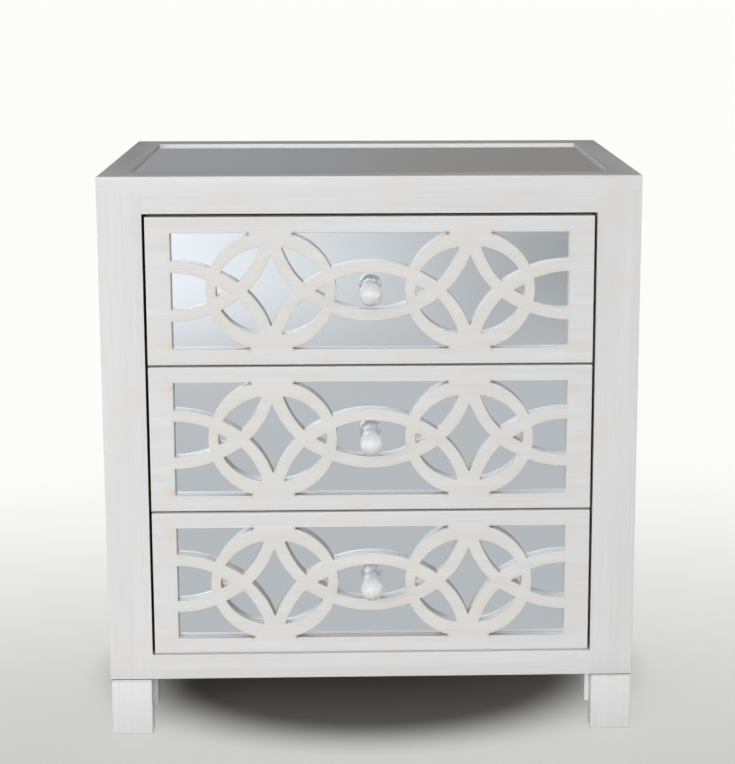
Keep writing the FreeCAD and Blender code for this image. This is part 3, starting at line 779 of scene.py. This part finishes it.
# %% [markdown]
# ## Thinner bands
#
# Inside the rings the real bands are a little thinner than those of the solid. A diamond stands in the
# middle of each ring, with lens-shaped openings around it. The lenses grow towards the diamond, the points
# of both get longer, and the small triangles at half height get lower. Each point of such an outline gets a
# step, and the points of the panel straight behind it follow.

# %% Thin the bands inside the rings
BAND_THIN = 2.4 * MM
BAND_RISE = 1.4
DIAMOND_TIP = 4.0 * MM
DIAMOND_ASIDE = 50 * MM
DIAMOND_LOWEST = 60 * MM
LENS_TIP = 1.8 * MM
LENS_REACH = 10 * MM
LENS_NEAR = 65 * MM
LENS_OFF_MIDDLE = 10 * MM
TRIANGLE_HIGHEST = 25 * MM
TRIANGLE_LOWER = 0.18
ON_MIDDLE = 3 * MM


def nearest(points):
    """A tree that finds the nearest of some points."""
    tree = KDTree(len(points))
    for index, point in enumerate(points):
        tree.insert(point, index)
    tree.balance()
    return tree


def thin_bands(piece, loops):
    """Widen the openings inside the rings, so that the bands there are thinner and their points longer."""
    spans = []
    for loop in loops:
        across = [point.x for point in loop]
        upward = [point.z for point in loop]
        heart = Vector(((min(across) + max(across)) / 2, 0, (min(upward) + max(upward)) / 2))
        spans.append((heart, max(upward) - min(upward), loop))
    half_way = (fret_low.z + fret_high.z) / 2
    steps = []
    for heart, height, triangle in spans:
        if height < TRIANGLE_HIGHEST and abs(heart.z - half_way) < ON_MIDDLE:
            for point in triangle:
                steps.append((point, Vector((0, 0, TRIANGLE_LOWER * (heart.z - point.z)))))
    for heart, height, diamond in spans:
        if abs(heart.x) < DIAMOND_ASIDE or height < DIAMOND_LOWEST or abs(heart.z - half_way) > ON_MIDDLE:
            continue
        for point in diamond:
            steps.append((point, Vector((0, 0, DIAMOND_TIP * ((point.z - heart.z) * 2 / height) ** 3))))
        for other, _, lens in spans:
            if (other - heart).length > LENS_NEAR or abs(other.z - half_way) < LENS_OFF_MIDDLE:
                continue
            away = [Vector((point.x - heart.x, 0, point.z - heart.z)) for point in lens]
            far = max(offset.length for offset in away)
            near = min(offset.length for offset in away)
            tip_x = min(abs(offset.x) for offset in away)
            for point, offset in zip(lens, away):
                thin = BAND_THIN * min(1, BAND_RISE * (far - offset.length) / (far - near))
                close = max(0, 1 - (abs(offset.x) - tip_x) / LENS_REACH) ** 2
                aside = Vector((-math.copysign(LENS_TIP * close, offset.x), 0, 0))
                steps.append((point, aside - thin * offset.normalized()))
    moving = nearest([point for point, _ in steps])
    for vert in piece.data.vertices:
        _, index, gap = moving.find((vert.co.x, fret_low.y, vert.co.z))
        if gap < SAME_PLACE:
            vert.co += steps[index][1]
    piece.data.update()
    return len(steps)


print(thin_bands(first_fret, solid_outlines), "points of the openings moved")

# %% [markdown]
# ## Eased edges and sharp points
#
# The front edge of every opening is rounded over, as sanding leaves it, and the walls reach back into the
# glass, for a reason that the step on the mirrors gives. The paint is darkest in the sharp points of the
# openings beside the upper and lower borders, with brown glaze and painted shade. A point is sharp where
# the outline turns back on itself within a couple of millimetres.

# %% Ease the panel and find its sharp points
FRET_EASE = 0.5 * MM
FRET_CORNER = 2 * MM
FRET_DEEPER = 2.4 * MM
TIP_WINDOW = 2.2 * MM
TIP_TURN = 1.75
BORDER_NEAR = 2 * MM


def sharp_tips(loops):
    """Points where an outline turns back on itself within a couple of millimetres."""
    tips = []
    for loop in loops:
        count = len(loop)
        steps = [loop[(index + 1) % count] - loop[index] for index in range(count)]
        headings = [math.atan2(step.z, step.x) for step in steps]
        turns = []
        for index in range(count):
            turn = headings[index] - headings[index - 1]
            turns.append((turn + math.pi) % (2 * math.pi) - math.pi)
        for index in range(count):
            total = turns[index]
            for way in (-1, 1):
                reach = 0
                spot = index
                while reach < TIP_WINDOW / 2:
                    reach += steps[spot if way > 0 else spot - 1].length
                    spot = (spot + way) % count
                    if reach < TIP_WINDOW / 2:
                        total += turns[spot]
            if abs(total) > TIP_TURN:
                tips.append(loop[index])
    return tips


def fret_outer_corner(edge):
    spot = middle(edge)
    at_side = level(spot.x, fret_low.x) or level(spot.x, fret_high.x)
    return along(edge, 1) and at_side and (level(spot.z, fret_low.z) or level(spot.z, fret_high.z))


outlines = front_outlines(first_fret)
border = max(outlines, key=lambda loop: max(point.x for point in loop))
opening_points = [point for loop in outlines if loop is not border for point in loop]
window_half = max(point.x for point in opening_points)
window_high = max(point.z for point in opening_points)
window_low = min(point.z for point in opening_points)
tips = []
for point in sharp_tips(outlines):
    if min(window_high - point.z, point.z - window_low) < BORDER_NEAR:
        tips.append(point)
print(f"{len(tips)} points in the tips beside the upper and lower borders")

ease(first_fret, FRET_CORNER, fret_outer_corner, CORNER_SEGMENTS)
print(ease(first_fret, FRET_EASE, fret_front_edge), "front edges eased")
push_back(first_fret, fret_high.y, FRET_DEEPER)

# %% [markdown]
# ## Wear and painted shade on the fretwork
#
# The worn paint and the painted shade need to know how far each point is from an opening and from a sharp
# point, and which way a wall faces. A shader cannot measure that, so the front is divided into small squares,
# with closer lines at the sharp points, and every point of the panel carries the four values that the paint
# reads.

# %% Divide the front
WEAR_GRID = 5 * MM
TIP_GRID = (-2.7, -1.3, 0.1, 1.5, 2.9)
FACES_FRONT = 0.99

grid = []
for axis, start, stop in ((0, fret_low.x, fret_high.x), (2, fret_low.z, fret_high.z)):
    steps = round((stop - start) / WEAR_GRID)
    grid += [(axis, start + (stop - start) * index / steps) for index in range(1, steps)]
    for place in sorted({round(point[axis], 3) for point in tips}):
        grid += [(axis, place + offset * MM) for offset in TIP_GRID]
open_piece(first_fret)
for axis, place in grid:
    pick(first_fret, "faces", lambda face: face.normal.y < -FACES_FRONT)
    slice_selected(axis, place)
close_piece()
print(f"front divided along {len(grid)} lines")

# %% Measure the wear and the painted shade
RUB_REACH = 6 * MM
RUB_WALL = 0.1
RUB_BAND = 0.18
RUB_EDGE = 0.4
SMEAR_REACH = 20 * MM
SMEAR_INSET = 6 * MM
SMEAR_BELOW = 1.6
SMEAR_LEFT = 0.8
SMEAR_RIGHT = 0.4
EDGE_LEFT = 0.75
WALL_START = 0.9 * FRET_EASE
RIGHT_WALL_SHADE = 0.5
TIP_REACH = 4 * MM
TIP_DARK = 0.75
UP_START = 0.8
UP_RANGE = 0.17
SLOPE_LEAST = 0.01
openings = nearest(opening_points)
sharp = nearest(tips)


def wear_at(spot):
    """Cream glaze on the bands and near the openings, dragged out darker at the corners of the window."""
    edge = max(0, 1 - openings.find(spot)[2] / RUB_REACH)
    beyond = max(0, abs(spot.x) - window_half)
    over = max(0, spot.z - window_high, window_low - spot.z)
    if beyond == 0 and over == 0:
        return RUB_BAND + (RUB_EDGE - RUB_BAND) * edge
    if beyond == 0 or over > RUB_REACH:
        return RUB_EDGE * edge
    from_upper = abs(spot.z - window_high + SMEAR_INSET)
    from_lower = abs(spot.z - window_low - SMEAR_INSET)
    rise = min(from_upper, SMEAR_BELOW * from_lower)
    smear = max(0, 1 - math.hypot(beyond, rise) / SMEAR_REACH)
    if spot.x < 0:
        return max(EDGE_LEFT * edge, SMEAR_LEFT * smear)
    return max(RUB_EDGE * edge, SMEAR_RIGHT * smear)


for word in WEAR_AND_SHADE:
    first_fret.data.attributes.new(word, "FLOAT", "POINT")
rub, brown_glaze_and_shade, cut, dry = [first_fret.data.attributes[word] for word in WEAR_AND_SHADE]
for index, vert in enumerate(first_fret.data.vertices):
    spot = Vector((vert.co.x, fret_low.y, vert.co.z))
    on_wall = vert.co.y > fret_low.y + WALL_START
    slope = max(SLOPE_LEAST, math.hypot(vert.normal.x, vert.normal.z))
    faces_up = min(1, max(0, (vert.normal.z / slope - UP_START) / UP_RANGE))
    # Painted shade: walls that face right, away from the light, are darkened with the brown.
    right_wall_shade = RIGHT_WALL_SHADE * max(0, vert.normal.x / slope) if on_wall else 0
    # Brown in the sharp points: partly glaze, partly painted shade.
    point_glaze_and_shade = TIP_DARK * max(0, 1 - sharp.find(spot)[2] / TIP_REACH) ** 2
    rub.data[index].value = RUB_WALL if on_wall else wear_at(spot)
    brown_glaze_and_shade.data[index].value = max(right_wall_shade, point_glaze_and_shade)
    cut.data[index].value = 1 if on_wall else 0
    dry.data[index].value = 1 - faces_up if on_wall else 0
print(f"{len(first_fret.data.vertices)} points carry the wear")


# %% Copy the panel to the other drawers
def copy_to_drawers(first, node, name):
    """Copy a piece of the bottom drawer to the other drawers, each copy with its own mesh."""
    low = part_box(f"bottom_drawer_{node}")[0]
    pieces = {"bottom": first}
    for drawer in DRAWERS[1:]:
        piece = bpy.data.objects.new(f"{drawer}_drawer_{name}", first.data.copy())
        bpy.context.scene.collection.objects.link(piece)
        open_piece(piece)
        bpy.ops.mesh.select_all(action="SELECT")
        bpy.ops.transform.translate(value=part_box(f"{drawer}_drawer_{node}")[0] - low)
        close_piece()
        pieces[drawer] = name_mesh(piece, f"{drawer}_drawer_{name}")
    return pieces


for drawer, panel in copy_to_drawers(first_fret, "fretwork", "fret_panel").items():
    finish_piece(panel, f"{drawer}_drawer", [f"{drawer}_drawer_fretwork"], [paint_across])

# %% [markdown]
# ## Drawer mirrors
#
# The silver of a mirror is on the back of its glass, so the cut walls of the fretwork look as deep as the
# board and most of the glass together, and then once more in their reflection. The clear part of the glass
# is left out here: the walls of the fretwork reach back into it, and the silver is a thin sheet behind them.

# %% Set the silver back
SILVER_DEPTH = 2.8 * MM
for drawer in DRAWERS:
    low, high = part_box(f"{drawer}_drawer_mirror")
    silver = merged_copy(f"{drawer}_drawer_mirror", f"{drawer}_drawer_silver")
    push_back(silver, low.y, SILVER_DEPTH)
    finish_piece(silver, f"{drawer}_drawer", [f"{drawer}_drawer_mirror"], [mirror])

# %% [markdown]
# ## Knobs
#
# The knobs are small white balls, a little longer than they are wide, on a short neck with a flat foot. A
# ring is pulled forward and resized step by step along the outline, as on a lathe, and closed at its tip.
# The outline is a list of places in front of the solid knob's seat, each with a radius. It starts behind
# the seat, because the foot stands on the silver.

# %% Turn the knobs
KNOB_SIDES = 48
KNOB_SMOOTH = 50
SHANK_RADIUS = 4.6 * MM
FOOT_RADIUS = 11 * MM
NECK_RADIUS = 9 * MM
HEAD_RADIUS = 14.4 * MM
HEAD_LENGTH = 33 * MM
HEAD_STEPS = 16
foot_start = 1.2 * MM - SILVER_DEPTH
foot_full = 1.7 * MM - SILVER_DEPTH
knob_low, knob_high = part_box("bottom_drawer_knob")
knob_reach = knob_high.y - knob_low.y
seat = Vector((0, knob_high.y, (knob_low.z + knob_high.z) / 2))
stem = [
    (-SILVER_DEPTH, SHANK_RADIUS), (foot_start, SHANK_RADIUS), (foot_start, FOOT_RADIUS - 1 * MM),
    (foot_full, FOOT_RADIUS), (2.2 * MM, FOOT_RADIUS), (3.2 * MM, FOOT_RADIUS - 0.8 * MM),
    (5 * MM, NECK_RADIUS + 1 * MM), (8 * MM, NECK_RADIUS), (13 * MM, NECK_RADIUS),
    (17 * MM, NECK_RADIUS + 1.2 * MM)]
head_middle = knob_reach - HEAD_LENGTH / 2
head = []
for step in range(2, HEAD_STEPS):
    angle = math.pi * (step / HEAD_STEPS)
    head.append((head_middle - HEAD_LENGTH / 2 * math.cos(angle), HEAD_RADIUS * math.sin(angle)))
outline = [ring for ring in stem if ring[0] < head[0][0]]
outline += [ring for ring in head if ring[1] > NECK_RADIUS or ring[0] > head_middle]

bpy.ops.object.select_all(action="DESELECT")
bpy.ops.mesh.primitive_circle_add(
    vertices=KNOB_SIDES, radius=outline[0][1], location=seat - Vector((0, outline[0][0], 0)),
    rotation=(math.radians(90), 0, 0), fill_type="NGON")
first_knob = name_mesh(bpy.context.object, "bottom_drawer_knob_turned")
bpy.ops.object.transform_apply(location=True, rotation=True, scale=True)
open_piece(first_knob)
bpy.ops.mesh.select_all(action="SELECT")
for (before, small), (after, large) in zip(outline, outline[1:]):
    bpy.ops.mesh.extrude_region_move(TRANSFORM_OT_translate={"value": (0, before - after, 0)})
    centre = seat - Vector((0, after, 0))
    bpy.ops.transform.resize(value=(large / small, 1, large / small), center_override=centre)
bpy.ops.mesh.merge(type="CENTER")
bpy.ops.mesh.select_all(action="SELECT")
bpy.ops.mesh.remove_doubles(threshold=MERGE_REACH)
bpy.ops.mesh.normals_make_consistent(inside=False)
close_piece()
for drawer, knob in copy_to_drawers(first_knob, "knob", "knob_turned").items():
    nodes = [f"{drawer}_drawer_knob"]
    finish_piece(knob, f"{drawer}_drawer", nodes, [glaze], smooth=KNOB_SMOOTH)

# %% [markdown]
# ## Finishes for the remaining solids
#
# The pieces inside the case have the right shape already. Rails, runners and drawer boxes take bare wood
# whose grain runs along their longest side. The kickers show in the dark gap over the top drawer, so they
# take the dark wood colour as painted shade. The boards behind the fretwork and the blocks in the feet are
# painted, the bolts and screws are steel, and the top takes its mirror.

# %% Dress the remaining solids
PINE_X = ["rear_top_rail", "rear_bottom_rail"] + [f"{drawer}_drawer_back" for drawer in DRAWERS]
PINE_Y = ["drawer_stops"]
PINE_Y += [f"{drawer}_{word}_runner" for drawer in DRAWERS for word in ("left", "right")]
PINE_Y += [f"{drawer}_drawer_{word}_side" for drawer in DRAWERS for word in ("left", "right")]
PLYWOOD_X = ["bottom_panel", "top_backing_board"] + [f"{drawer}_drawer_bottom" for drawer in DRAWERS]
dressed = {name: pine_across for name in PINE_X}
dressed.update({name: pine_deep for name in PINE_Y})
dressed.update({name: plywood_across for name in PLYWOOD_X})
dressed["back_panel"] = plywood_upright
# Painted shade: the kickers sit in the shaded gap above the top drawer.
dressed["left_kicker"] = dark_shade_wood
dressed["right_kicker"] = dark_shade_wood
dressed["foot_bolts"] = zinc
dressed["top_mirror"] = mirror
dressed["corner_blocks"] = paint_upright
for drawer in DRAWERS:
    dressed[f"{drawer}_drawer_front"] = paint_across
    dressed[f"{drawer}_drawer_knob_screw"] = zinc
for name, material in dressed.items():
    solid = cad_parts[name]
    solid.data.materials.clear()
    solid.data.materials.append(material)
print(f"{len(dressed)} solids dressed")

# %% [markdown]
# ## Floor
#
# The chest stands on a plain floor that is pale where the camera or a mirror sees it. The drawer mirrors
# look down at the floor in front, so what they show is the glow of its patches: one to the left is
# brightest, and the middle is a little darker. Under the chest the glow fades out, so its shadow stays.

# %% Lay the floor
FLOOR_PALE = "#80807E"
FLOOR_MARK = "#7A7A78"
FLOOR_ROUGH = 0.9
FLOOR_SHINE = 0.1
FLOOR_PATCH = 400 * MM
FLOOR_SIZE = 400

bpy.ops.object.select_all(action="DESELECT")
bpy.ops.mesh.primitive_plane_add(size=FLOOR_SIZE, location=(0, 0, 0))
floor = name_mesh(bpy.context.object, "floor")
floor_finish, tree, shader, place = new_material("pale_matt_floor")
drift = add_node(tree, "TexNoise", {"Vector": place, "Scale": 1 / FLOOR_PATCH, "Detail": 3})
tone = add_node(tree, "Mix", {0: drift, 6: linear(FLOOR_PALE), 7: linear(FLOOR_MARK)}, data_type="RGBA")
set_inputs(tree, shader, {
    "Base Color": tone, "Roughness": FLOOR_ROUGH, "Specular IOR Level": FLOOR_SHINE})
floor.data.materials.append(floor_finish)
print("floor laid")

# %% Let the floor glow
SMOOTH = {"interpolation_type": "SMOOTHSTEP"}
FLOOR_GLOW = "#F3F3F2"
# Each patch has a middle, the radii between which its glow changes, and the glow inside and outside them.
GLOW_PATCHES = [
    ((-1.1, -4.2), (0.3, 2.3), (0.82, 0)),
    ((0.5, -4.8), (0.8, 2.6), (0.25, 0.54)),
    ((0, -2.4), (1.9, 3.6), (0, 0.46)),
]
UNDER_MIDDLE = (0, 0.02)
UNDER_HALF = (0.31, 0.24)
UNDER_FADE = (0.8, 1.3)


def distance_from(spot, scale=(1, 1)):
    """How far a point of the floor is from a spot, in units that may differ along X and Y."""
    moved = add_node(tree, "VectorMath", {0: place, 1: (*spot, 0)}, operation="SUBTRACT")
    sized = add_node(tree, "VectorMath", {0: moved, 1: (*scale, 1)}, operation="DIVIDE")
    return add_node(tree, "VectorMath", {0: sized}, operation="LENGTH")


rays = add_node(tree, "LightPath").outputs
seen = add_node(tree, "Math", {0: rays["Is Camera Ray"], 1: rays["Is Glossy Ray"]}, operation="MAXIMUM")
spread = 0
for spot, (inner, outer), (inside, outside) in GLOW_PATCHES:
    patch = add_node(
        tree, "MapRange",
        {"Value": distance_from(spot), "From Min": inner, "From Max": outer, "To Min": inside,
         "To Max": outside}, **SMOOTH)
    spread = add_node(tree, "Math", {0: spread, 1: patch}, operation="ADD")
under = distance_from(UNDER_MIDDLE, UNDER_HALF)
shadow = add_node(
    tree, "MapRange", {"Value": under, "From Min": UNDER_FADE[0], "From Max": UNDER_FADE[1]}, **SMOOTH)
lit = add_node(tree, "Math", {0: seen, 1: shadow}, operation="MULTIPLY")
glow = add_node(tree, "Math", {0: lit, 1: spread}, operation="MULTIPLY")
set_inputs(tree, shader, {"Emission Color": linear(FLOOR_GLOW), "Emission Strength": glow})
print(f"{len(GLOW_PATCHES)} patches of glow on the floor")

# %% [markdown]
# ## Background and light
#
# The floor runs into a pale background. The chest is lit by the room: the side ahead of it, a little to
# its left, is bright above a slanting line near the horizon, as from wide windows, and a narrower fill
# comes from low on the far right. The rest is grey and darkest overhead, so the top stays dark. One soft
# lamp, which neither the camera nor a mirror sees, adds a slow fall of light from left to right.

# %% Colour the room
SKY_SEEN = "#F1F1F0"
SKY_LEFT = "#9D9DA0"
SKY_RIGHT = "#908D87"
SKY_HIGH = "#3C3D3F"
SIDE_CHANGE = (-0.1, 0.12)
HEIGHT_CHANGE = (0.08, 0.5)
WINDOW_LEFT = 15
WINDOW_UP = 7
WINDOW_NARROW = 3
WINDOW_LIGHT = 2.42
BELOW_LIGHT = 0.2
SILL_SLANT = (-0.4, 0, 1)
SILL_CHANGE = (-0.06, 0.18)
ROOF_CHANGE = (0.45, 0.95)
RIGHT_LIGHT = 2.2
RIGHT_SLANT = (1, 0, -0.45)
RIGHT_CHANGE = (0.35, 0.95)

world = bpy.data.worlds.new("studio")
bpy.context.scene.world = world
world.use_nodes = True
tree = world.node_tree
direction = add_node(tree, "TexCoord").outputs["Generated"]
parts = add_node(tree, "SeparateXYZ", {"Vector": direction}).outputs
aside = add_node(
    tree, "MapRange",
    {"Value": parts["X"], "From Min": SIDE_CHANGE[0], "From Max": SIDE_CHANGE[1]}, **SMOOTH)
low_sky = add_node(tree, "Mix", {0: aside, 6: linear(SKY_LEFT), 7: linear(SKY_RIGHT)}, data_type="RGBA")
rise = add_node(
    tree, "MapRange",
    {"Value": parts["Z"], "From Min": HEIGHT_CHANGE[0], "From Max": HEIGHT_CHANGE[1]}, **SMOOTH)
sky = add_node(tree, "Mix", {0: rise, 6: low_sky, 7: linear(SKY_HIGH)}, data_type="RGBA")
left = math.radians(WINDOW_LEFT)
up = math.radians(WINDOW_UP)
bright_side = (-math.sin(left) * math.cos(up), -math.cos(left) * math.cos(up), math.sin(up))
facing = add_node(tree, "VectorMath", {0: direction, 1: bright_side}, operation="DOT_PRODUCT")
ahead = add_node(tree, "Math", {0: facing, 1: 0}, operation="MAXIMUM")
fade = add_node(tree, "Math", {0: ahead, 1: WINDOW_NARROW}, operation="POWER")
slant = add_node(tree, "VectorMath", {0: direction, 1: SILL_SLANT}, operation="DOT_PRODUCT")
clear = add_node(
    tree, "MapRange",
    {"Value": slant, "From Min": SILL_CHANGE[0], "From Max": SILL_CHANGE[1], "To Min": BELOW_LIGHT,
     "To Max": WINDOW_LIGHT}, **SMOOTH)
roof = add_node(
    tree, "MapRange",
    {"Value": parts["Z"], "From Min": ROOF_CHANGE[0], "From Max": ROOF_CHANGE[1], "To Min": 1, "To Max": 0},
    **SMOOTH)
under_roof = add_node(tree, "Math", {0: fade, 1: roof}, operation="MULTIPLY")
windows = add_node(tree, "Math", {0: under_roof, 1: clear}, operation="MULTIPLY")
low_right = add_node(tree, "VectorMath", {0: direction, 1: RIGHT_SLANT}, operation="DOT_PRODUCT")
far_right = add_node(
    tree, "MapRange",
    {"Value": low_right, "From Min": RIGHT_CHANGE[0], "From Max": RIGHT_CHANGE[1], "To Max": RIGHT_LIGHT},
    **SMOOTH)
both = add_node(tree, "Math", {0: windows, 1: far_right}, operation="ADD")
light = add_node(tree, "Mix", {0: 1, 6: sky, 7: both}, data_type="RGBA", blend_type="ADD")
by_camera = add_node(tree, "LightPath").outputs["Is Camera Ray"]
room = add_node(tree, "Mix", {0: by_camera, 6: light, 7: linear(SKY_SEEN)}, data_type="RGBA")
set_inputs(tree, tree.nodes["Background"], {"Color": room})
print("room coloured")

# %% Hang the lamp
LAMP_PLACE = (-1.7, -3.0, 0.95)
LAMP_TARGET = (0, -0.2, 0.45)
LAMP_WIDTH = 1.6
LAMP_HEIGHT = 1.2
LAMP_WATTS = 30

bpy.ops.object.light_add(type="AREA", location=LAMP_PLACE)
lamp = bpy.context.object
lamp.name = "soft_side"
lamp.data.shape = "RECTANGLE"
lamp.data.size = LAMP_WIDTH
lamp.data.size_y = LAMP_HEIGHT
lamp.data.energy = LAMP_WATTS
lamp.rotation_euler = (Vector(LAMP_TARGET) - lamp.location).to_track_quat("-Z", "Y").to_euler()
lamp.visible_camera = False
lamp.visible_glossy = False
bpy.context.scene.view_settings.view_transform = "Standard"
print("stage set")
